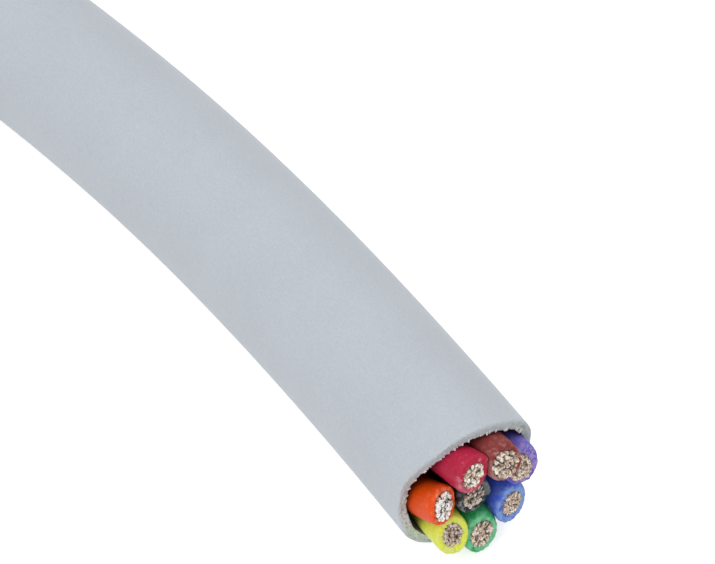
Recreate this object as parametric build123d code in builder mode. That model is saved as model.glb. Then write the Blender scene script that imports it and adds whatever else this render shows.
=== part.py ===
from build123d import *
import os
from math import cos, pi, radians, sin, tan

# A cut length of round control cable: seven insulated conductors laid around an eighth
# in one extruded jacket. It lies on Z = 0 in a gentle bend. The end at -X is cut plain
# and flush. The end at +X has the jacket cut back, so the conductors stand out of it,
# each with the ends of its strands showing. All sizes are in millimetres.

# Conductors
STRAND_DIAMETER = 0.25
STRAND_LAYERS = (3, 9, 14)
FIRST_LAYER_RADIUS = 0.16
LAYER_SPACING = 0.245
BUNCH_SIDES = 8
STRAND_SIDES = 5
INSULATION_WALL = 0.32

# Lay
RING_COUNT = 7
LAY_LENGTH = 144.0
LAY_STEPS = 4
CONDUCTOR_GAP = 0.03
BUNDLE_CLEARANCE = 0.14

# Jacket and route
JACKET_WALL = 0.60
ROUTE = ((-28.8, 3.8), (-12.8, 3.8), (11.0, 0.5), (26.4, -3.8))
ARC_SHARE = 0.45

# Loose ends: from LOOSE_LENGTH before the mouth of the jacket each conductor runs straight.
# The values are its place in the ring, how far it stands out of the jacket as a share of
# STAND_OUT, how far its cut end is turned about the cable, how far that end is pushed
# outwards as a share of the conductor's radius, and the two slants of its cut.
LOOSE_LENGTH = 4.0
STAND_OUT = 1.4
FIRST_PLACE_ANGLE = 111.0
LOOSE_ENDS = {
    "red": (0, 1.03, -2, 0.03, 10, 8),
    "brown": (1, 1.18, 0, 0.05, 0, 14),
    "violet": (2, 0.66, 1, 0.15, 0, 18),
    "blue": (3, 0.97, 4, 0.04, 10, 13),
    "green": (4, 1.13, 6, 0.05, 5, 17),
    "yellow": (5, 1.17, 7, -0.11, -6, 28),
    "orange": (6, 0.94, -3, 0.04, 26, 20),
}
CENTRE_END = {"black": (0.67, 0.25, 190, 4, 11)}
STRAND_STAND_OUT = (0.12, 0.20, 0.15)

# Sizes that follow
strand_rings = [
    (count, FIRST_LAYER_RADIUS + layer * LAYER_SPACING)
    for layer, count in enumerate(STRAND_LAYERS)
]
bunch_radius = strand_rings[-1][1] + STRAND_DIAMETER / 2
conductor_radius = bunch_radius + INSULATION_WALL
turn_per_place = 360 / RING_COUNT
os.makedirs("parts", exist_ok=True)

def arc_radii(points):
    """The radius at each corner that lets its arc fill most of the shorter run beside it."""
    corners = [Vector(*point) for point in points]
    radii = []
    for before, corner, after in zip(corners, corners[1:], corners[2:]):
        turn = radians((corner - before).get_angle(after - corner))
        run = min((corner - before).length, (after - corner).length)
        radii.append(ARC_SHARE * run / tan(turn / 2))
    return radii

# The cable's centre line, flat, before it is raised to the jacket's radius
with BuildLine() as flat_route:
    FilletPolyline(*ROUTE, radius=arc_radii(ROUTE))
flat_path = flat_route.wire()
cable_length = flat_path.length
print("route length", round(cable_length, 2))
print("arc radii", [round(radius, 1) for radius in arc_radii(ROUTE)])

# The ring keeps its conductors a gap apart half way along each straight step of the lay
lay_run = (cable_length - LOOSE_LENGTH) / LAY_STEPS
lay_turn = 360 * lay_run / LAY_LENGTH
ring_radius = (conductor_radius + CONDUCTOR_GAP / 2) / sin(pi / RING_COUNT) / cos(radians(lay_turn / 2))
bore_radius = ring_radius + conductor_radius + BUNDLE_CLEARANCE
jacket_radius = bore_radius + JACKET_WALL
print("jacket diameter", round(2 * jacket_radius, 2))

def station(distance):
    """The plane across the cable at a distance along it: X to the side, Y up, Z forwards."""
    on_route = flat_path.position_at(distance / cable_length)
    forwards = flat_path.tangent_at(distance / cable_length)
    origin = Vector(on_route.X, on_route.Y, jacket_radius)
    return Plane(origin=origin, x_dir=Vector(0, 0, 1).cross(forwards), z_dir=forwards)

def across(distance, radius, angle, beyond=0.0):
    """A point at a radius and an angle from the cable's centre line."""
    side, up = radius * cos(radians(angle)), radius * sin(radians(angle))
    return station(distance).from_local_coords((side, up, beyond))

def conductor_points(radius, angle, end):
    """The corners of a conductor's path: the steps of the lay, and then its loose end."""
    corners = []
    for step in range(LAY_STEPS + 1):
        distance = step * lay_run
        to_mouth = 360 * (cable_length - distance) / LAY_LENGTH
        corners.append(across(distance, radius, angle + to_mouth))
    corners.append(end)
    return corners

def cut_plane(points, slant_side, slant_up):
    """The plane of a conductor's cut, through the last point and leaning by two slants."""
    mouth = station(cable_length)
    lean = Vector(tan(radians(slant_side)), tan(radians(slant_up)), 1)
    normal = mouth.from_local_coords(lean) - mouth.origin
    return Plane(origin=points[-1], x_dir=mouth.x_dir, z_dir=normal)

def carried(side, before, after):
    """A direction across one run, carried over the mitre to the run after it."""
    mitre = (before + after).normalized()
    on_mitre = side - before * (side.dot(mitre) / before.dot(mitre))
    return on_mitre - after * on_mitre.dot(after)

def mitred_runs(points, cut, draw_section):
    """A conductor's straight runs, mitred where they meet, the last one trimmed by its cut."""
    runs = list(zip(points, points[1:]))
    directions = [(finish - start).normalized() for start, finish in runs]
    ends = [Plane(origin=points[0], z_dir=directions[0])]
    sides = [ends[0].x_dir]
    for corner, before, after in zip(points[1:], directions, directions[1:]):
        ends.append(Plane(origin=corner, z_dir=before + after))
        sides.append(carried(sides[-1], before, after))
    ends.append(cut)
    overrun = 2 * conductor_radius
    solids = []
    for (start, finish), forwards, side, first, last in zip(runs, directions, sides, ends, ends[1:]):
        with BuildPart() as run:
            with BuildSketch(Plane(origin=start - forwards * overrun, x_dir=side, z_dir=forwards)):
                draw_section()
            extrude(amount=(finish - start).length + 2 * overrun)
            split(bisect_by=first, keep=Keep.TOP)
            split(bisect_by=last, keep=Keep.BOTTOM)
        solids.append(run.part)
    return solids

def insulation_section():
    """A round wall about the bunch of strands."""
    Circle(conductor_radius)
    RegularPolygon(bunch_radius, BUNCH_SIDES, mode=Mode.SUBTRACT)

def bunch_section():
    """The bunch that the strands make along the conductor."""
    RegularPolygon(bunch_radius, BUNCH_SIDES)

def make_insulation(name, points, cut):
    """The plastic of one conductor, with the bore that its strands fill."""
    runs = mitred_runs(points, cut, insulation_section)
    with BuildPart() as insulation:
        add(runs)
    insulation.part.label = f"insulation_{name}"
    export_step(insulation.part, f"parts/insulation_{name}.step")

def make_strands(name, points, cut):
    """The copper of one conductor: one bunch along its length, with its strands' own ends."""
    runs = mitred_runs(points, cut, bunch_section)
    with BuildPart() as strands:
        add(runs)
        for group, stand_out in enumerate(STRAND_STAND_OUT):
            with BuildSketch(cut):
                for count, radius in strand_rings:
                    places = PolarLocations(radius, count).local_locations
                    with Locations(*places[group::len(STRAND_STAND_OUT)]):
                        RegularPolygon(STRAND_DIAMETER / 2, STRAND_SIDES)
            extrude(amount=stand_out)
    strands.part.label = f"strands_{name}"
    export_step(strands.part, f"parts/strands_{name}.step")

def make_conductor(name, radius, angle, end, slants):
    """One insulated conductor, as two nodes."""
    points = conductor_points(radius, angle, end)
    cut = cut_plane(points, *slants)
    make_insulation(name, points, cut)
    make_strands(name, points, cut)

# Jacket
with BuildPart() as jacket:
    with BuildLine(Plane.XY.offset(jacket_radius)) as route:
        FilletPolyline(*ROUTE, radius=arc_radii(ROUTE))
    with BuildSketch(station(0)):
        Circle(jacket_radius)
        Circle(bore_radius, mode=Mode.SUBTRACT)
    sweep()
jacket.part.label = "jacket"
export_step(jacket.part, "parts/jacket.step")

# Ring of conductors
for colour, (place, share, turn, push, slant_side, slant_up) in LOOSE_ENDS.items():
    reach = share * STAND_OUT
    place_angle = FIRST_PLACE_ANGLE - place * turn_per_place
    end_angle = place_angle - 360 * reach / LAY_LENGTH + turn
    cut_end = across(cable_length, ring_radius + push * conductor_radius, end_angle, reach)
    make_conductor(colour, ring_radius, place_angle, cut_end, (slant_side, slant_up))

# Centre conductor
for colour, (share, push, end_angle, slant_side, slant_up) in CENTRE_END.items():
    cut_end = across(cable_length, push * conductor_radius, end_angle, share * STAND_OUT)
    make_conductor(colour, 0.0, 0.0, cut_end, (slant_side, slant_up))
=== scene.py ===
import bpy
from math import atan2, cos, pi, radians, sin, sqrt, tan
from mathutils import Matrix, Vector, noise
from random import Random


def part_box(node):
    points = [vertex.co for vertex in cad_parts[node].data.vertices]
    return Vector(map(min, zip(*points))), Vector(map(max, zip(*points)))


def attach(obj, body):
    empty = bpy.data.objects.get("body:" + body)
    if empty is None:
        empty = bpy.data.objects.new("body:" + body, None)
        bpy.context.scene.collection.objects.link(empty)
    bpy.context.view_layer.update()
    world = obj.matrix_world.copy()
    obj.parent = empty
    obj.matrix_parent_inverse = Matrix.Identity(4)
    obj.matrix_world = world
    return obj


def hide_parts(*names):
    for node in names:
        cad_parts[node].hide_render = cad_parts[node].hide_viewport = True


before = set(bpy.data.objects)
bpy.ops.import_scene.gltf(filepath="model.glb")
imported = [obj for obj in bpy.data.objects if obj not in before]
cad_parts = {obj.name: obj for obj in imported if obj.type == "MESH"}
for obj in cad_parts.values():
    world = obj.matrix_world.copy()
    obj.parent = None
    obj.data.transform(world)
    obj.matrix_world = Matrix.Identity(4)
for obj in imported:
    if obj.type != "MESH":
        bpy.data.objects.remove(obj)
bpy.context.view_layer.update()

# The cable lies on z = 0 along its route, and its open mouth is the end at +x. Lengths
# are in metres, apart from the tables that say mm. Angles round the cable are in degrees,
# from the right-hand side of someone who looks into the mouth, and up from there.
MM = 0.001
ROUTE = ((-0.0288, 0.00395), (-0.0128, 0.00395), (0.0110, 0.0005), (0.0264, -0.0038))
ROUTE_STEPS = 48
TANGENT_STEP = 0.2 * MM

# Cable: the strands lie in rings, each with its count and radius. In the ring of nine,
# one strand in every four is pushed back.
low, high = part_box("jacket")
JACKET_RADIUS = (high[2] - low[2]) / 2
DIAMETER = 2 * JACKET_RADIUS
JACKET_WALL = 0.60 * MM
BORE_RADIUS = JACKET_RADIUS - JACKET_WALL
CONDUCTOR_RADIUS = 1.095 * MM
BUNCH_RADIUS = 0.775 * MM
STRAND_RADIUS = 0.125 * MM
STRAND_RINGS = ((3, 0.16 * MM), (9, 0.405 * MM), (14, 0.65 * MM))
PUSHED_RING = 9
PUSHED_EVERY = 4
RING_RADIUS = 2.66 * MM
PLACES = 7
FIRST_PLACE = 111.0
LAY_LENGTH = 144 * MM
STRAND_LAY = 34 * MM

# Loose ends: a conductor leaves its lay over the loose length, up to its waist, which is
# this far back from its cut and just inside the mouth. From there it bends to its cut end,
# and over the last lengths it takes the slant of the cut, spreads and is paler: partly
# scuffed, partly a painted highlight.
WAIST = 2.8 * MM
LOOSE_LENGTH = 12.0 * MM
SLANT_LENGTH = 3.2 * MM
SPREAD_LENGTH = 2 * MM
SCUFF_AND_HIGHLIGHT_LENGTH = 1.3 * MM
STRAND_SLANT_LENGTH = 1.5 * MM
TIP_HEIGHT = 0.018 * MM

# Where two conductors press on each other: the gap left between their flats, how far past
# a conductor's cut the other one is still flat, and the tries at finding the nearest point
PRESS_GAP = 0.006 * MM
PRESS_OVERRUN = 0.5 * MM
PRESS_TRIES = 3

# Camera, from the middle of the mouth: the distance and the offsets are in diameters
VIEW_HEADING = 131.8
VIEW_DOWN = 49.2
VIEW_DISTANCE = 22.0
AIM_LEFT = 0.669
AIM_UP = 1.205
LENS = 183.6

# Light: the tent all round, and how white the floor is to the camera
TENT_LIGHT = 0.60
FLOOR_GLOW = 0.55

# Colours as they are written into the shaders, in linear light
JACKET_COLOUR = (0.500, 0.539, 0.582)
# The jacket's cut face darkens towards this: painted shade under the burrs and down the bore, and
# its darker right side
SHADE_AND_DARK_SIDE_COLOUR = (0.14, 0.14, 0.13)
TIN = (0.84, 0.77, 0.68)
COPPER = (0.52, 0.36, 0.26)
# A painted reddish bounce light, added to the painted shade on the conductors inside the mouth
PAINTED_BOUNCE_LIGHT = (0.020, 0.004, 0.004)
# Painted shade, for the hollows between strand tips and on the pushed-back strands
CREVICE_SHADE = (0.07, 0.05, 0.04)
FLOOR_COLOUR = (0.86, 0.86, 0.86)

# The jacket's cut face, where it is sawn and where it is torn, by the level of its speckle
SAWN_STOPS = (
    (0.36, (0.20, 0.23, 0.21)), (0.45, (0.54, 0.62, 0.56)),
    (0.57, (0.66, 0.74, 0.69)), (0.66, (0.82, 0.86, 0.84)))
FLECK_STOPS = ((0.36, (0.62, 0.54, 0.54)), (0.46, (0.84, 0.76, 0.76)), (0.56, (0.95, 0.91, 0.91)))

# How far the jacket's cut stands out of the mouth's plane, in mm, at angles round it
RIM = (
    (-4, -0.55), (28, -0.20), (62, 0.18), (80, 0.20), (112, 0.12), (158, -0.38),
    (171, -0.16), (194, 0.36), (212, 0.06), (245, 0.02), (300, -0.30), (356, -0.55))
RIM_FADE = 2.5 * MM

# The jacket's cut: how far it leans back where it does, how rough it is, how round its edges
# are, and how far its burrs reach inwards and outwards, and in mm down the bore
RECESS = 0.16 * MM
RIM_ROUGHNESS = 0.06 * MM
RIM_ROUNDING = 0.05 * MM
FAR_ROUGHNESS = 0.03 * MM
FAR_ROUNDING = 0.04 * MM
BURR_INWARDS = 0.14 * MM
BURR_OUTWARDS = 0.05 * MM
BURR_DEPTH = 0.22

# The jacket's mesh: the points in a ring, and the steps along it and across its two faces.
# Its bore has every third ring of the outside, short of the mouth.
JACKET_SIDES = 480
PLAIN_STEPS = 56
RIM_STEPS = 14
MOUTH_STEPS = 9
FAR_STEPS = 6
BORE_EVERY = 3
BORE_SHORT = 12

# The meshes of the conductors: the steps of their lines, the points in a ring, and the last
# stretch before a cut, whose rings are closer
CONDUCTOR_STEPS = 400
INSULATION_SIDES = 96
INSULATION_NEAR = 7 * MM
INSULATION_STEPS = 30
INSULATION_NEAR_STEPS = 26
STRAND_SIDES = 12
STRAND_NEAR = 3 * MM
STRAND_STEPS = 30
STRAND_NEAR_STEPS = 10

# A conductor's cut face, ring by ring from the outside of the wall to the copper: how far
# back in mm, where in the wall, how rough in mm, how ragged, how marked by the cut and how
# much of the torn lip it has
FACE_START = 0.25 * MM
FACE_RINGS = (
    (0.26, 1.0, 0.01, 0.02, 0.3, 0.0), (0.13, 0.99, 0.04, 0.05, 0.5, 0.3),
    (0.05, 0.94, 0.06, 0.09, 0.7, 0.8), (0.01, 0.84, 0.08, 0.09, 0.9, 1.0),
    (0.0, 0.62, 0.10, 0.05, 1.0, 0.5), (0.0, 0.38, 0.10, 0.04, 1.0, 0.1),
    (0.01, 0.15, 0.09, 0.08, 1.0, 0.0), (0.07, 0.0, 0.05, 0.06, 0.8, 0.0))

# Each conductor's loose end, with lengths in mm: its place in the ring, how far it stands
# out of the mouth, how far it is turned about the cable and pushed outwards at its cut end
# and at its waist, and the two slants of its cut. Then its colour, the colour that the cut
# left on its face and how much of the face has it, how wide the cut spread it, how wide its
# copper is and how far that is off the middle, how deep the copper sits, how thick and how
# bright its strands are, and how much of the tin on them is worn. Last, where the knife
# wiped its face: the angle, how strongly, and how high a lip it raised there.
NO_SMEAR = (0, 0.0, 0.0)
CONDUCTORS = {
    "red": dict(
        place=0, reach=1.44, end=(-4, 0.05), waist=(3, 0.04), slants=(10, 8),
        colour=(0.445, 0.010, 0.047), pale=(0.70, 0.24, 0.32), whitened=0.3,
        flare=1.10, bunch=0.97, off=(-0.10, 0.0), sunk=0.0,
        thick=1.12, bright=1.04, worn=0.36, smear=(225, 0.4, 0.1)),
    "brown": dict(
        place=1, reach=1.46, end=(5, 0.02), waist=(7, -0.08), slants=(0, 18),
        colour=(0.24, 0.033, 0.030), pale=(0.50, 0.30, 0.28), whitened=0.38,
        flare=1.0, bunch=1.04, off=(0.02, -0.10), sunk=0.0,
        thick=1.10, bright=0.90, worn=0.55, smear=(205, 0.65, 0.12)),
    "violet": dict(
        place=2, reach=0.80, end=(0.5, 0.25), waist=(2, 0.12), slants=(0, 18),
        colour=(0.13, 0.105, 0.54), pale=(0.40, 0.31, 0.60), whitened=0.62,
        flare=1.07, bunch=0.94, off=(-0.12, -0.06), sunk=0.0,
        thick=1.14, bright=0.96, worn=0.5, smear=NO_SMEAR),
    "blue": dict(
        place=3, reach=1.38, end=(3, 0.04), waist=(2, 0.0), slants=(10, 13),
        colour=(0.046, 0.105, 0.66), pale=(0.24, 0.37, 0.68), whitened=0.75,
        flare=1.02, bunch=0.85, off=(0.04, 0.02), sunk=0.08,
        thick=1.2, bright=0.92, worn=0.8, smear=(-20, 0.5, 0.0)),
    "green": dict(
        place=4, reach=1.66, end=(5, 0.04), waist=(4, 0.0), slants=(5, 17),
        colour=(0.010, 0.33, 0.088), pale=(0.20, 0.60, 0.33), whitened=0.8,
        flare=1.04, bunch=0.95, off=(0.02, 0.0), sunk=0.08,
        thick=1.2, bright=0.90, worn=0.7, smear=(-20, 0.5, 0.0)),
    "yellow": dict(
        place=5, reach=1.68, end=(7, -0.10), waist=(6, 0.0), slants=(3, 28),
        colour=(0.74, 0.80, 0.083), pale=(0.74, 0.80, 0.24), whitened=0.5,
        flare=0.96, bunch=0.82, off=(0.0, 0.04), sunk=0.25,
        thick=1.06, bright=0.80, worn=0.62, smear=NO_SMEAR),
    "orange": dict(
        place=6, reach=1.30, end=(-3, 0.04), waist=(19.5, 0.0), slants=(28, 20),
        colour=(0.77, 0.073, 0.002), pale=(0.85, 0.34, 0.18), whitened=0.3,
        flare=1.03, bunch=1.06, off=(-0.05, -0.05), sunk=0.0,
        thick=1.16, bright=1.36, worn=0.02, smear=NO_SMEAR),
    "black": dict(
        place=None, reach=0.94, end=(190, 0.27), waist=(190, 0.2), slants=(4, 11),
        colour=(0.010, 0.010, 0.012), pale=(0.26, 0.28, 0.30), whitened=0.45,
        flare=1.0, bunch=0.9, off=(0.0, 0.0), sunk=0.05,
        thick=1.10, bright=0.64, worn=0.35, smear=(30, 0.55, 0.28)),
}


def soft_step(value):
    """0 to 1 with no jump in slope."""
    value = min(1.0, max(0.0, value))
    return value * value * (3 - 2 * value)


def wave(x, y, z):
    """Smooth noise from -1 to 1."""
    return noise.noise(Vector((x, y, z)))


def wave_round(fineness, angle, seed):
    """Smooth noise round a circle; the angle is in radians."""
    return wave(fineness * cos(angle), fineness * sin(angle), seed)


def around(count):
    """The angles of as many points round a circle, in radians."""
    return [2 * pi * i / count for i in range(count)]


def read_route():
    """The points of the smooth line that the cable follows."""
    curve = bpy.data.curves.new("route", "CURVE")
    curve.dimensions = "3D"
    curve.resolution_u = ROUTE_STEPS
    spline = curve.splines.new("NURBS")
    spline.points.add(len(ROUTE) - 1)
    for point, (x, y) in zip(spline.points, ROUTE):
        point.co = (x, y, JACKET_RADIUS, 1)
    spline.order_u = 3
    spline.use_endpoint_u = True
    holder = bpy.data.objects.new("route", curve)
    bpy.context.collection.objects.link(holder)
    mesh = bpy.data.meshes.new_from_object(holder)
    points = [vertex.co.copy() for vertex in mesh.vertices]
    bpy.data.objects.remove(holder)
    bpy.data.meshes.remove(mesh)
    return points


class Line:
    """A line through points, read by the distance along it."""

    def __init__(self, points):
        self.points = points
        self.reached = [0.0]
        for before, after in zip(points, points[1:]):
            self.reached.append(self.reached[-1] + (after - before).length)
        self.length = self.reached[-1]
        self.last = 0

    def at(self, distance):
        """The point and the direction at a distance, carried straight on past both ends."""
        last = self.last
        while last > 0 and self.reached[last] > distance:
            last -= 1
        while last < len(self.points) - 2 and self.reached[last + 1] < distance:
            last += 1
        self.last = last
        start, end = self.points[last], self.points[last + 1]
        forwards = (end - start).normalized()
        return start + forwards * (distance - self.reached[last]), forwards


class Frames:
    """Cross sections along a line: the origin, and the side, up and forward directions."""

    def __init__(self, points):
        self.line = Line(points)
        self.length = self.line.length

    def at(self, distance):
        origin, _ = self.line.at(distance)
        ahead, _ = self.line.at(distance + TANGENT_STEP)
        behind, _ = self.line.at(distance - TANGENT_STEP)
        forwards = (ahead - behind).normalized()
        side = Vector((0, 0, 1)).cross(forwards).normalized()
        return origin, side, forwards.cross(side), forwards

    def point(self, distance, radius, angle):
        """A point round the line; the angle is in degrees."""
        origin, side, up, _ = self.at(distance)
        turn = radians(angle)
        return origin + side * (radius * cos(turn)) + up * (radius * sin(turn))


class Skin:
    """The rings of vertices of one piece, with marks from 0 to 1 that its material reads."""

    def __init__(self, *marks):
        self.vertices = []
        self.faces = []
        self.marks = {mark: [] for mark in marks}

    def ring(self, points, **marks):
        """Adds points, each mark one value for them all or a list, and gives their numbers."""
        first = len(self.vertices)
        self.vertices.extend(points)
        for mark, values in self.marks.items():
            value = marks.get(mark, 0.0)
            values.extend(value if isinstance(value, list) else [value] * len(points))
        return list(range(first, len(self.vertices)))

    def bridge(self, before, after):
        """Quads between two rings of as many points; they face outwards where the rings
        turn anticlockwise as seen from in front and the second is the one in front."""
        count = len(before)
        for i in range(count):
            j = (i + 1) % count
            self.faces.append((before[i], before[j], after[j], after[i]))

    def bridge_all(self, rings):
        """Quads between each ring and the one after it."""
        for before, after in zip(rings, rings[1:]):
            self.bridge(before, after)

    def cap(self, ring, centre, **marks):
        """Triangles from a ring to a point in its middle."""
        middle = self.ring([centre], **marks)[0]
        count = len(ring)
        for i in range(count):
            self.faces.append((ring[i], ring[(i + 1) % count], middle))

    def build(self, name, material, sharp=50):
        """The piece, with edges kept sharp from an angle up."""
        mesh = bpy.data.meshes.new(name)
        mesh.from_pydata([tuple(vertex) for vertex in self.vertices], [], self.faces)
        for mark, values in self.marks.items():
            attribute = mesh.attributes.new(mark, "FLOAT", "POINT")
            attribute.data.foreach_set("value", values)
        mesh.polygons.foreach_set("use_smooth", [True] * len(mesh.polygons))
        mesh.set_sharp_from_angle(angle=radians(sharp))
        mesh.materials.append(material)
        mesh.update()
        piece = bpy.data.objects.new(name, mesh)
        bpy.context.collection.objects.link(piece)
        return piece


cable = Frames(read_route())
LENGTH = cable.length


# Materials

def shader(name, roughness):
    """A new material, its nodes, its links and its principled shader."""
    material = bpy.data.materials.new(name)
    material.use_nodes = True
    nodes, links = material.node_tree.nodes, material.node_tree.links
    principled = nodes["Principled BSDF"]
    principled.inputs["Roughness"].default_value = roughness
    return material, nodes, links, principled


def noise_node(nodes, links, scale, detail, roughness):
    """Noise in the object's own coordinates; the scale is in features a metre."""
    place = nodes.new("ShaderNodeTexCoord")
    texture = nodes.new("ShaderNodeTexNoise")
    texture.inputs["Scale"].default_value = scale
    texture.inputs["Detail"].default_value = detail
    texture.inputs["Roughness"].default_value = roughness
    links.new(place.outputs["Object"], texture.inputs["Vector"])
    return texture.outputs["Fac"]


def mark_node(nodes, mark):
    """One of the marks that the mesh carries."""
    attribute = nodes.new("ShaderNodeAttribute")
    attribute.attribute_name = mark
    return attribute.outputs["Fac"]


def ramp_node(nodes, links, source, stops):
    """Colours, or greys, between stops of a value from 0 to 1."""
    ramp = nodes.new("ShaderNodeValToRGB")
    elements = ramp.color_ramp.elements
    while len(elements) < len(stops):
        elements.new(0.5)
    for element, (position, colour) in zip(elements, stops):
        element.position = position
        grey = isinstance(colour, (int, float))
        element.color = (colour, colour, colour, 1) if grey else (*colour, 1)
    links.new(source, ramp.inputs["Fac"])
    return ramp.outputs["Color"]


def mix_node(nodes, links, factor, first, second):
    """A colour mix; each input is a socket, a number or a colour."""
    mix = nodes.new("ShaderNodeMix")
    mix.data_type = "RGBA"
    sockets = (mix.inputs[0], mix.inputs[6], mix.inputs[7])
    for socket, value in zip(sockets, (factor, first, second)):
        if isinstance(value, bpy.types.NodeSocket):
            links.new(value, socket)
        elif isinstance(value, (int, float)):
            socket.default_value = value
        else:
            socket.default_value = (*value, 1)
    return mix.outputs[2]


def bump_node(nodes, links, height, strength, distance, normal=None):
    """A bump, on top of another where its normal is given."""
    bump = nodes.new("ShaderNodeBump")
    bump.inputs["Strength"].default_value = strength
    bump.inputs["Distance"].default_value = distance
    links.new(height, bump.inputs["Height"])
    if normal:
        links.new(normal, bump.inputs["Normal"])
    return bump.outputs["Normal"]


def shade(colour, factor):
    """A colour made darker or lighter."""
    return tuple(min(1.0, channel * factor) for channel in colour)


def shades(colour, dark, light):
    """Ramp stops from a darker to a lighter shade of a colour."""
    (dark_at, dark_factor), (light_at, light_factor) = dark, light
    return (dark_at, shade(colour, dark_factor)), (light_at, shade(colour, light_factor))


def jacket_material():
    """Extruded grey PVC: a fine grain, faint clouds, and a rough face with torn flecks
    where it is cut, with painted shade under the burrs and down the bore, and darker on its right
    side."""
    material, nodes, links, principled = shader("jacket_pvc", 0.5)
    principled.inputs["Specular IOR Level"].default_value = 0.3
    grain = noise_node(nodes, links, 8200, 3, 0.7)
    clouds = noise_node(nodes, links, 260, 3, 0.55)
    speck = noise_node(nodes, links, 6500, 4, 0.7)
    fine = ramp_node(nodes, links, grain, shades(JACKET_COLOUR, (0.3, 0.86), (0.7, 1.12)))
    broad = ramp_node(nodes, links, clouds, shades(JACKET_COLOUR, (0.35, 0.97), (0.65, 1.03)))
    skin = mix_node(nodes, links, 0.5, fine, broad)
    cut = mark_node(nodes, "cut")
    torn = mark_node(nodes, "torn")
    pit = mark_node(nodes, "pit")
    sawn = ramp_node(nodes, links, speck, SAWN_STOPS)
    flecks = ramp_node(nodes, links, speck, FLECK_STOPS)
    # Painted shade under the burrs and down the bore, and a darker right side of the cut face
    pitted = mix_node(nodes, links, pit, sawn, SHADE_AND_DARK_SIDE_COLOUR)
    face = mix_node(nodes, links, torn, pitted, flecks)
    colour = mix_node(nodes, links, cut, skin, face)
    links.new(colour, principled.inputs["Base Color"])
    rough = ramp_node(nodes, links, cut, ((0.0, 0.5), (1.0, 0.85)))
    links.new(rough, principled.inputs["Roughness"])
    normal = bump_node(nodes, links, grain, 0.25, 0.03 * MM)
    normal = bump_node(nodes, links, speck, 0.3, 0.04 * MM, normal)
    links.new(normal, principled.inputs["Normal"])
    return material


def insulation_material(name, facts):
    """Semi-gloss PVC with painted shade inside the mouth, which takes a painted reddish bounce
    light,
    and smeared and paler where it is cut: partly scuffed, partly a painted highlight.
    """
    colour = facts["colour"]
    material, nodes, links, principled = shader(f"insulation_{name}", 0.42)
    principled.inputs["Specular IOR Level"].default_value = 0.27
    clouds = noise_node(nodes, links, 900, 3, 0.55)
    grain = noise_node(nodes, links, 6500, 3, 0.6)
    smear = noise_node(nodes, links, 2600, 4, 0.65)
    broad = ramp_node(nodes, links, clouds, shades(colour, (0.3, 0.84), (0.7, 1.14)))
    fine = ramp_node(nodes, links, grain, shades(colour, (0.32, 0.78), (0.68, 1.22)))
    skin = mix_node(nodes, links, 0.45, broad, fine)
    cut = mark_node(nodes, "cut")
    low = 0.62 - 0.34 * facts["whitened"]
    face = ramp_node(nodes, links, smear, ((low, shade(colour, 1.05)), (low + 0.18, facts["pale"])))
    deep = mark_node(nodes, "deep")
    # Painted shade inside the mouth: the colour darkened, with a painted reddish bounce light added
    painted_shade_colour = tuple(0.24 * channel + painted_shade for channel, painted_shade in zip(colour, PAINTED_BOUNCE_LIGHT))
    with_painted_shade = mix_node(nodes, links, deep, skin, painted_shade_colour)
    smeared = mark_node(nodes, "smeared")
    wiped = mix_node(nodes, links, smeared, face, facts["pale"])
    mixed = mix_node(nodes, links, cut, with_painted_shade, wiped)
    links.new(mixed, principled.inputs["Base Color"])
    rough = ramp_node(nodes, links, cut, ((0.0, 0.42), (1.0, 0.65)))
    links.new(rough, principled.inputs["Roughness"])
    normal = bump_node(nodes, links, grain, 0.45, 0.03 * MM)
    normal = bump_node(nodes, links, smear, 0.35, 0.06 * MM, normal)
    links.new(normal, principled.inputs["Normal"])
    return material


def strand_material(name, facts):
    """Tinned copper strands, smeared at their cut tips, with copper where the tin is worn, painted
    shade on their sides and in the hollows between tips, and a painted highlight on the brightest
    tin.
    """
    material, nodes, links, principled = shader(f"strands_{name}", 0.45)
    principled.inputs["Metallic"].default_value = 0.4
    blotch = noise_node(nodes, links, 8500, 3, 0.6)
    tone = mark_node(nodes, "tone")
    tip = mark_node(nodes, "tip")
    amount = nodes.new("ShaderNodeMath")
    amount.operation = "MULTIPLY_ADD"
    links.new(tone, amount.inputs[0])
    amount.inputs[1].default_value = 0.20
    links.new(blotch, amount.inputs[2])
    gap = 0.41 - 0.04 * facts["worn"]
    edge = 0.50 + 0.18 * facts["worn"]
    bright = facts["bright"]
    # The tips' colour: painted crevice shade at the bottom, then copper where the tin is worn, then
    # tin, with its lightest stop a painted highlight
    tint = ramp_node(nodes, links, amount.outputs["Value"], (
        (gap, CREVICE_SHADE), (gap + 0.05, shade(COPPER, 0.9 * bright)),
        (edge, shade(COPPER, 1.1 * bright)), (edge + 0.08, shade(TIN, bright)),
        (edge + 0.20, shade(TIN, 1.3 * bright))))
    scratch = noise_node(nodes, links, 12500, 2, 0.6)
    dull = ramp_node(nodes, links, scratch, ((0.36, 0.9), (0.47, 0.0)))
    lit = ramp_node(nodes, links, scratch, ((0.53, 0.0), (0.64, 0.9)))
    dulled = mix_node(nodes, links, dull, tint, shade(COPPER, 0.38 * bright))
    scraped = mix_node(nodes, links, lit, dulled, shade(TIN, 1.22 * bright))
    # The strands' sides are painted dark as the shade between them, less dark where the tin is more
    # worn
    side_shade = shade(COPPER, 0.12 + 0.35 * facts["worn"])
    mixed = mix_node(nodes, links, tip, side_shade, scraped)
    links.new(mixed, principled.inputs["Base Color"])
    normal = bump_node(nodes, links, scratch, 0.6, 0.03 * MM)
    links.new(normal, principled.inputs["Normal"])
    return material


# Jacket

JACKET_ANGLES = around(JACKET_SIDES)
LEVEL = [0.0] * JACKET_SIDES


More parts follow.
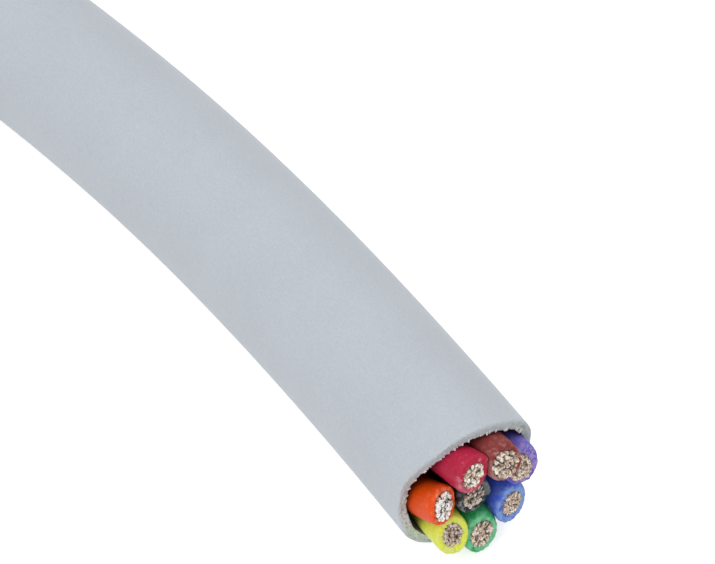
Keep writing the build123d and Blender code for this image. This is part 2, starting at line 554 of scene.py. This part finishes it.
def rim_stand_out(angle):
    """How far the jacket's cut stands out of the mouth's plane, at an angle round it."""
    first = RIM[0][0]
    turned = (angle / radians(1) - first) % 360 + first
    for (before, low_value), (after, high_value) in zip(RIM, RIM[1:]):
        if turned <= after:
            share = soft_step((turned - before) / (after - before))
            return (low_value + (high_value - low_value) * share) * MM
    return RIM[-1][1] * MM


def rim_recess(angle):
    """How far the cut leans back from the outside of the wall to the inside."""
    return RECESS * soft_step((cos(angle - radians(190)) - 0.85) / 0.12)


def rim_fade(distance):
    """How much of the rim's stand-out a ring has: all of it at the mouth, then less."""
    return soft_step(1 - (LENGTH - distance) / RIM_FADE)


def burr(angle):
    """The torn flecks that the knife left along the inner edge, from 0 to 1."""
    upper = 0.04 + 0.96 * soft_step(0.25 + 0.9 * cos(angle - radians(88)))
    tear = 0.10 + 1.3 * wave_round(21, angle, 3.1) + 1.3 * wave_round(44, angle, 7.7)
    return min(1.0, max(0.0, tear)) * upper


def jacket_ring(distance, radius, leans, pinches):
    """One ring of the jacket, its points moved along the cable by leans and inwards by
    pinches."""
    points = []
    origin, side, up, forwards = cable.at(distance)
    for angle, lean, pinch in zip(JACKET_ANGLES, leans, pinches):
        wobble = 1 + 0.0012 * wave_round(2, angle, distance * 90)
        reach = radius * wobble - pinch
        across = side * (reach * cos(angle)) + up * (reach * sin(angle))
        points.append(origin + across + forwards * lean)
    return points


def far_face_rings(skin):
    """The plain cut at the far end, from the bore outwards."""
    rings = []
    for k in range(FAR_STEPS + 1):
        fraction = k / FAR_STEPS
        rounding = FAR_ROUNDING * (1 - sqrt(max(0.0, 1 - (2 * fraction - 1) ** 8)))
        leans = [
            rounding + FAR_ROUGHNESS * wave_round(30, a, fraction * 4) for a in JACKET_ANGLES]
        points = jacket_ring(0.0, BORE_RADIUS + fraction * JACKET_WALL, leans, LEVEL)
        rings.append(skin.ring(points, cut=1.0))
    return rings


def outside_rings(skin, stations):
    """The outside, from the far end up to the mouth."""
    rings = []
    for distance in stations:
        leans = [rim_stand_out(a) * rim_fade(distance) for a in JACKET_ANGLES]
        rings.append(skin.ring(jacket_ring(distance, JACKET_RADIUS, leans, LEVEL)))
    return rings


def mouth_face_rings(skin, flecks):
    """The mouth's cut face, from the outside of the wall to the bore, with its burrs."""
    # Where the painted shade under the burrs falls, on the upper side, and the darker right side of
    # the face
    shaded = [soft_step(0.45 + 0.9 * cos(a - radians(92))) for a in JACKET_ANGLES]
    darker_right = [soft_step(0.5 + 1.5 * (cos(a - radians(15)) - 0.7)) for a in JACKET_ANGLES]
    smooth = [soft_step(0.5 + 1.6 * (cos(a - radians(108)) - 0.5)) for a in JACKET_ANGLES]
    rings = []
    for k in range(MOUTH_STEPS + 1):
        fraction = k / MOUTH_STEPS
        radius = JACKET_RADIUS - fraction * JACKET_WALL - (0.02 * MM if k == 0 else 0.0)
        inner = soft_step((fraction - 0.6) / 0.4)
        bare = soft_step(0.15 + 1.2 * fraction)
        leans, pinches, torn, pit, cut = [], [], [], [], []
        for i, (angle, fleck) in enumerate(zip(JACKET_ANGLES, flecks)):
            rough = RIM_ROUGHNESS * wave_round(26, angle, 5 + 6 * fraction)
            rough *= min(1.0, 4 * fraction + 0.3)
            rough -= RIM_ROUNDING * max(0.0, 1 - 6 * fraction)
            lean = rim_stand_out(angle) - rim_recess(angle) * fraction
            leans.append(lean + rough + BURR_OUTWARDS * inner * fleck)
            pinches.append(BURR_INWARDS * inner * fleck)
            torn.append(min(1.0, 2.2 * inner * fleck))
            # Painted shadow along the inner edge, between and under the burrs
            painted_burr_shadow = 0.8 * inner * max(0.0, 1 - 4 * fleck) * shaded[i]
            pit.append(max(painted_burr_shadow, 0.35 * darker_right[i]))
            cut.append(max(torn[i], bare * (1 - 0.85 * smooth[i])))
        points = jacket_ring(LENGTH, radius, leans, pinches)
        rings.append(skin.ring(points, cut=cut, torn=torn, pit=pit))
    return rings


def bore_rings(skin, flecks, stations):
    """The bore, from just behind the cut to the far end."""
    rings = []
    for back in (0.10, 0.22, 0.5, 1.0, 1.6):
        distance = LENGTH - back * MM
        left = max(0.0, 1 - back / BURR_DEPTH)
        faded = rim_fade(distance)
        leans = [(rim_stand_out(a) - rim_recess(a)) * faded for a in JACKET_ANGLES]
        pinches = [0.12 * MM * fleck * left for fleck in flecks]
        points = jacket_ring(distance, BORE_RADIUS, leans, pinches)
        torn = [fleck * left for fleck in flecks]
        # Painted shade, deeper down the bore
        rings.append(skin.ring(points, cut=1.0, torn=torn, pit=min(0.8, 2 * back)))
    for distance in reversed(stations[:-BORE_SHORT:BORE_EVERY]):
        rings.append(skin.ring(jacket_ring(distance, BORE_RADIUS, LEVEL, LEVEL)))
    return rings


def build_jacket():
    """The jacket, as one closed skin round its wall."""
    skin = Skin("cut", "torn", "pit")
    plain = LENGTH - RIM_FADE
    stations = [plain * k / PLAIN_STEPS for k in range(1, PLAIN_STEPS)]
    stations += [LENGTH - RIM_FADE * (1 - k / RIM_STEPS) for k in range(RIM_STEPS)]
    flecks = [burr(angle) for angle in JACKET_ANGLES]
    rings = far_face_rings(skin)
    rings += outside_rings(skin, stations)
    rings += mouth_face_rings(skin, flecks)
    rings += bore_rings(skin, flecks, stations)
    skin.bridge_all(rings)
    skin.bridge(rings[-1], rings[0])
    return skin.build("jacket_skin", jacket_material())


# Conductors

INSULATION_ANGLES = around(INSULATION_SIDES)


def loosened(back, end, waist):
    """An offset a distance back from the cut: end there, then waist, then none."""
    near = max(0.0, 1 - back / WAIST) ** 1.5
    inside = soft_step(1 - (back - WAIST) / LOOSE_LENGTH)
    return end * near + waist * (1 - near) * inside


def conductor_frames(facts):
    """The smooth line of a conductor, from the far end of the cable to its own cut end."""
    length = LENGTH + facts["reach"] * MM
    points = []
    for k in range(CONDUCTOR_STEPS + 1):
        distance = length * k / CONDUCTOR_STEPS
        back = length - distance
        turn, push = (loosened(back, *ends) for ends in zip(facts["end"], facts["waist"]))
        if facts["place"] is None:
            radius = push * MM
            angle = facts["end"][0]
        else:
            radius = RING_RADIUS + push * MM
            place = FIRST_PLACE - facts["place"] * 360 / PLACES
            angle = place + 360 * (LENGTH - distance) / LAY_LENGTH + turn
        points.append(cable.point(distance, radius, angle))
    return Frames(points)


def cut_normal(facts):
    """The direction that a conductor's cut faces."""
    _, side, up, forwards = cable.at(LENGTH)
    slant_side, slant_up = (tan(radians(slant)) for slant in facts["slants"])
    return (side * slant_side + up * slant_up + forwards).normalized()


def width_at(facts, back):
    """A conductor's radius, a distance back from its cut, where it is spread."""
    return CONDUCTOR_RADIUS * (1 + (facts["flare"] - 1) * soft_step(1 - back / SPREAD_LENGTH))


def free_reaches(name, distance, lines):
    """How far each side of a conductor reaches before it is pressed flat on another."""
    frames = lines[name]
    origin, side, up, forwards = frames.at(distance)
    own = width_at(CONDUCTORS[name], frames.length - distance)
    reaches = [DIAMETER] * INSULATION_SIDES
    for other, facts in CONDUCTORS.items():
        if other == name:
            continue
        beside = lines[other]
        along = distance
        for _ in range(PRESS_TRIES):
            along += (origin - beside.at(along)[0]).dot(forwards)
        if along > beside.length + PRESS_OVERRUN:
            continue
        offset = beside.at(along)[0] - origin
        apart = offset.length
        theirs = width_at(facts, beside.length - along)
        if apart > own + theirs:
            continue
        flat = (apart ** 2 + own ** 2 - theirs ** 2) / (2 * apart) - PRESS_GAP
        towards = atan2(offset.dot(up), offset.dot(side))
        for i, angle in enumerate(INSULATION_ANGLES):
            facing = cos(angle - towards)
            if facing > 0:
                reaches[i] = min(reaches[i], flat / facing)
    return reaches


def even(radius):
    """The same radius all round an insulation's ring."""
    return [radius] * INSULATION_SIDES


def insulation_ring(frames, distance, radii, normal, slant, rough=0.0, seed=0.0, ragged=0.0,
                    off=(0, 0), lift=(0.0,) * INSULATION_SIDES):
    """A ring of the insulation; slant takes it from square to the plane of the cut."""
    origin, side, up, forwards = frames.at(distance)
    points = []
    for angle, radius, raised in zip(INSULATION_ANGLES, radii, lift):
        nick = 0.6 * wave_round(1.6, angle, seed) + 0.4 * wave_round(7, angle, seed)
        reach = radius * (1 - ragged * (0.4 + nick))
        offset = side * (reach * cos(angle) + off[0]) + up * (reach * sin(angle) + off[1])
        along = -slant * offset.dot(normal) / forwards.dot(normal)
        along += rough * wave_round(5, angle, seed) + raised
        points.append(origin + offset + forwards * along)
    return points


def painted_shade(points):
    """How much painted shade each point of a conductor gets, from 0 to 1, by how deep it is in the
    mouth.
    """
    origin, side, up, forwards = cable.at(LENGTH)
    deep = []
    for point in points:
        offset = point - origin
        rim = rim_stand_out(atan2(offset.dot(up), offset.dot(side)))
        inside = rim - offset.dot(forwards)
        deep.append(soft_step((inside / MM + 0.35) / 0.9))
    return deep


def far_end_rings(skin, frames, normal, seed):
    """An insulation's plain cut at the far end, from inside its bore outwards."""
    bore = BUNCH_RADIUS + 0.02 * MM
    wall = CONDUCTOR_RADIUS - bore
    rings = [skin.ring(insulation_ring(frames, 1.2 * MM, even(bore), normal, 0))]
    for fraction in (0.0, 0.3, 0.7, 0.95):
        radii = even(bore + fraction * wall)
        points = insulation_ring(frames, 0.0, radii, normal, 0, 0.03 * MM, seed + fraction)
        rings.append(skin.ring(points, cut=1.0))
    edge = insulation_ring(frames, 0.05 * MM, even(CONDUCTOR_RADIUS), normal, 0)
    rings.append(skin.ring(edge, cut=0.4))
    return rings


def body_rings(skin, name, facts, lines, normal):
    """An insulation's outside, spread towards its cut and paler there, partly scuffed and partly
    a painted highlight, with painted shade inside the mouth.
    """
    frames = lines[name]
    length = frames.length
    hidden = length - INSULATION_NEAR
    near = INSULATION_NEAR - FACE_START
    stations = [hidden * k / INSULATION_STEPS for k in range(1, INSULATION_STEPS)]
    for k in range(INSULATION_NEAR_STEPS + 1):
        stations.append(hidden + near * k / INSULATION_NEAR_STEPS)
    rings = []
    for distance in stations:
        back = length - distance
        slant = soft_step(1 - back / SLANT_LENGTH)
        radius = width_at(facts, back)
        radii = [min(radius, reach) for reach in free_reaches(name, distance, lines)]
        points = insulation_ring(frames, distance, radii, normal, slant)
        # Paler towards the cut: partly scuff marks, partly a painted highlight
        scuff_and_highlight = 0.35 * soft_step(1 - back / SCUFF_AND_HIGHLIGHT_LENGTH)
        rings.append(skin.ring(points, cut=scuff_and_highlight, deep=painted_shade(points)))
    return rings


def cut_face_rings(skin, name, facts, lines, normal, seed):
    """An insulation's cut face, wiped and torn on one side, and the start of its bore."""
    frames = lines[name]
    length = frames.length
    bore = BUNCH_RADIUS * facts["bunch"]
    outer = CONDUCTOR_RADIUS * facts["flare"]
    wiped_at, wiped, lip = facts["smear"]
    spread = []
    ridge = []
    for angle in INSULATION_ANGLES:
        near = soft_step((cos(angle - radians(wiped_at)) - 0.3) / 0.6)
        spread.append(wiped * near)
        ridge.append(near * (0.6 + 0.6 * wave_round(5, angle, seed + 4)))
    rings = []
    for back, fraction, rough, ragged, cut, torn in FACE_RINGS:
        distance = length - back * MM
        edges = [min(outer, reach) for reach in free_reaches(name, distance, lines)]
        radii = [bore + fraction * (edge - bore) for edge in edges]
        off = [shift * (1 - fraction) * MM for shift in facts["off"]]
        lift = [lip * MM * torn * height for height in ridge]
        points = insulation_ring(
            frames, distance, radii, normal, 1, rough * MM, seed + fraction, ragged, off, lift)
        rings.append(skin.ring(points, cut=cut, deep=painted_shade(points), smeared=spread))
    off = [shift * MM for shift in facts["off"]]
    for back in (0.5, 1.6):
        points = insulation_ring(frames, length - back * MM, even(bore), normal, 1, off=off)
        rings.append(skin.ring(points))
    return rings


def build_insulation(name, facts, lines):
    """One conductor's plastic, bored at its two ends and a plain skin between them."""
    skin = Skin("cut", "deep", "smeared")
    normal = cut_normal(facts)
    seed = 10.0 * list(CONDUCTORS).index(name)
    rings = far_end_rings(skin, lines[name], normal, seed)
    rings += body_rings(skin, name, facts, lines, normal)
    rings += cut_face_rings(skin, name, facts, lines, normal, seed)
    skin.bridge_all(rings)
    return skin.build(f"{name}_insulation", insulation_material(name, facts))


def add_strand(skin, frames, facts, normal, strand):
    """One strand, twisted with its bunch, spread near the cut and capped at both ends."""
    length = frames.length
    off_side, off_up = facts["off"]
    bunch = facts["bunch"]
    swell = facts["thick"] * (0.3 + 0.7 * bunch)
    end, tone = strand["end"], strand["tone"]
    hidden = length - STRAND_NEAR
    near = end - hidden
    stations = [hidden * j / STRAND_STEPS for j in range(STRAND_STEPS + 1)]
    stations += [hidden + near * j / STRAND_NEAR_STEPS for j in range(1, STRAND_NEAR_STEPS + 1)]
    rings = []
    for distance in stations:
        origin, side, up, forwards = frames.at(distance)
        last = distance == stations[-1]
        loose = soft_step(1 - (end - distance) / STRAND_NEAR)
        reach = strand["radius"] * (1 + loose * (bunch - 1))
        thickness = strand["size"] * (1 + loose * (swell - 1))
        stretch = strand["squash"] if last else 1.0
        angle = radians(strand["place"] + 360 * distance / STRAND_LAY)
        centre = side * (reach * cos(angle) + loose * off_side * MM)
        centre += up * (reach * sin(angle) + loose * off_up * MM)
        slant = soft_step(1 - (end - distance) / STRAND_SLANT_LENGTH)
        points = []
        for turn in around(STRAND_SIDES):
            spot = Vector((cos(turn) * stretch, sin(turn) / stretch))
            offset = centre + side * (thickness * spot.x) + up * (thickness * spot.y)
            along = -slant * offset.dot(normal) / forwards.dot(normal)
            if last:
                along += thickness * spot.dot(strand["lean"])
            points.append(origin + offset + forwards * along)
        rings.append(skin.ring(points, tone=tone, tip=1.0 if last else 0.0))
    skin.bridge_all(rings)
    cap_strand(skin, rings, frames.at(length)[3], tone)


def cap_strand(skin, rings, forwards, tone):
    """A strand's rounded tip at the cut, and its flat far end."""
    tip_points = [skin.vertices[i] for i in rings[-1]]
    middle = sum(tip_points, Vector()) / STRAND_SIDES
    raised = forwards * TIP_HEIGHT
    inner_points = [middle + (point - middle) * 0.8 + raised for point in tip_points]
    inner = skin.ring(inner_points, tone=tone, tip=1.0)
    skin.bridge(rings[-1], inner)
    skin.cap(inner, middle + raised * 1.3, tone=tone, tip=1.0)
    far_points = [skin.vertices[i] for i in rings[0]]
    far_middle = sum(far_points, Vector()) / STRAND_SIDES
    skin.cap(list(reversed(rings[0])), far_middle, tone=tone, tip=1.0)


def build_strands(name, facts, frames):
    """One conductor's copper: its strands, some of them pushed back, with painted shade on their
    tips.
    """
    rng = Random(101 + list(CONDUCTORS).index(name))
    skin = Skin("tone", "tip")
    normal = cut_normal(facts)
    for count, ring_radius in STRAND_RINGS:
        start = rng.uniform(0, 360)
        sunk = facts["sunk"] * MM * (1.2 - ring_radius / BUNCH_RADIUS)
        for k in range(count):
            strand = {
                "place": start + 360 * k / count + rng.uniform(-5, 5),
                "radius": ring_radius + rng.uniform(-0.025, 0.025) * MM,
                "size": STRAND_RADIUS * rng.uniform(0.95, 1.04),
                "squash": rng.uniform(0.82, 1.2),
                "end": frames.length + rng.uniform(0.03, 0.11) * MM - sunk,
                "lean": Vector((rng.uniform(-0.4, 0.4), rng.uniform(-0.4, 0.4))),
                "tone": rng.random(),
            }
            # A pushed-back strand's tip gets the painted crevice shade
            if count == PUSHED_RING and k % PUSHED_EVERY == 1:
                strand["tone"] = -1.0
                strand["end"] -= rng.uniform(0.05, 0.12) * MM
            add_strand(skin, frames, facts, normal, strand)
    return skin.build(f"{name}_strands", strand_material(name, facts), sharp=40)


jacket = build_jacket()
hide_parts("jacket")
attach(jacket, "root")
lines = {name: conductor_frames(facts) for name, facts in CONDUCTORS.items()}
for name, facts in CONDUCTORS.items():
    insulation = build_insulation(name, facts, lines)
    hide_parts(f"insulation_{name}")
    strands = build_strands(name, facts, lines[name])
    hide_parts(f"strands_{name}")
    for piece in (insulation, strands):
        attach(piece, "root")

tuple(cable.at(0)[0])


# Floor, lights and camera

def white_floor():
    """White to the camera and to reflections, with the object's soft shadow kept."""
    material, nodes, links, principled = shader("floor_white", 0.9)
    principled.inputs["Base Color"].default_value = (*FLOOR_COLOUR, 1)
    principled.inputs["Specular IOR Level"].default_value = 0.0
    glow = nodes.new("ShaderNodeEmission")
    path = nodes.new("ShaderNodeLightPath")
    seen = nodes.new("ShaderNodeMath")
    seen.operation = "MAXIMUM"
    links.new(path.outputs["Is Camera Ray"], seen.inputs[0])
    links.new(path.outputs["Is Glossy Ray"], seen.inputs[1])
    strength = nodes.new("ShaderNodeMath")
    strength.operation = "MULTIPLY"
    strength.inputs[1].default_value = FLOOR_GLOW
    links.new(seen.outputs[0], strength.inputs[0])
    links.new(strength.outputs[0], glow.inputs["Strength"])
    both = nodes.new("ShaderNodeAddShader")
    links.new(principled.outputs[0], both.inputs[0])
    links.new(glow.outputs[0], both.inputs[1])
    links.new(both.outputs[0], nodes["Material Output"].inputs["Surface"])
    return material


def build_floor():
    """A wide square under the cable."""
    half = 1.5
    corners = [(-half, -half, 0), (half, -half, 0), (half, half, 0), (-half, half, 0)]
    mesh = bpy.data.meshes.new("floor")
    mesh.from_pydata(corners, [], [(0, 1, 2, 3)])
    mesh.materials.append(white_floor())
    floor = bpy.data.objects.new("floor", mesh)
    bpy.context.collection.objects.link(floor)


def build_world():
    """An even white tent, white to the camera."""
    world = bpy.data.worlds.new("studio")
    bpy.context.scene.world = world
    world.use_nodes = True
    nodes, links = world.node_tree.nodes, world.node_tree.links
    background = nodes["Background"]
    background.inputs["Color"].default_value = (1, 1, 1, 1)
    path = nodes.new("ShaderNodeLightPath")
    ramp = nodes.new("ShaderNodeMapRange")
    ramp.inputs["To Min"].default_value = TENT_LIGHT
    ramp.inputs["To Max"].default_value = 1.0
    links.new(path.outputs["Is Camera Ray"], ramp.inputs["Value"])
    links.new(ramp.outputs[0], background.inputs["Strength"])


def add_lamp(name, place, size, power):
    """A soft square lamp that faces the middle of the cable."""
    light = bpy.data.lights.new(name, "AREA")
    light.shape = "SQUARE"
    light.size = size
    light.energy = power
    lamp = bpy.data.objects.new(name, light)
    lamp.location = place
    lamp.rotation_euler = (-Vector(place)).to_track_quat("-Z", "Y").to_euler()
    bpy.context.collection.objects.link(lamp)


def add_camera():
    """The photograph's view, down onto the mouth and back along the cable."""
    mouth, _, _, _ = cable.at(LENGTH)
    heading, down = radians(VIEW_HEADING), radians(VIEW_DOWN)
    level = Vector((cos(heading), sin(heading), 0))
    right = Vector((sin(heading), -cos(heading), 0))
    forwards = level * cos(down) - Vector((0, 0, 1)) * sin(down)
    up = level * sin(down) + Vector((0, 0, 1)) * cos(down)
    place = mouth + DIAMETER * (up * AIM_UP - right * AIM_LEFT - forwards * VIEW_DISTANCE)
    data = bpy.data.cameras.new("camera")
    data.sensor_width = 36
    data.lens = LENS
    data.clip_start = 0.01
    camera = bpy.data.objects.new("camera", data)
    turn = Matrix((right, up, -forwards)).transposed().to_4x4()
    camera.matrix_world = Matrix.Translation(place) @ turn
    bpy.context.collection.objects.link(camera)
    bpy.context.scene.camera = camera


build_floor()
build_world()
add_lamp("key", (0.00, 0.12, 0.42), size=0.26, power=0.40)
add_lamp("side", (-0.05, 0.40, 0.16), size=0.26, power=0.12)
add_lamp("front", (0.08, -0.28, 0.32), size=0.30, power=0.66)
add_camera()
bpy.context.scene.view_settings.view_transform = "Standard"
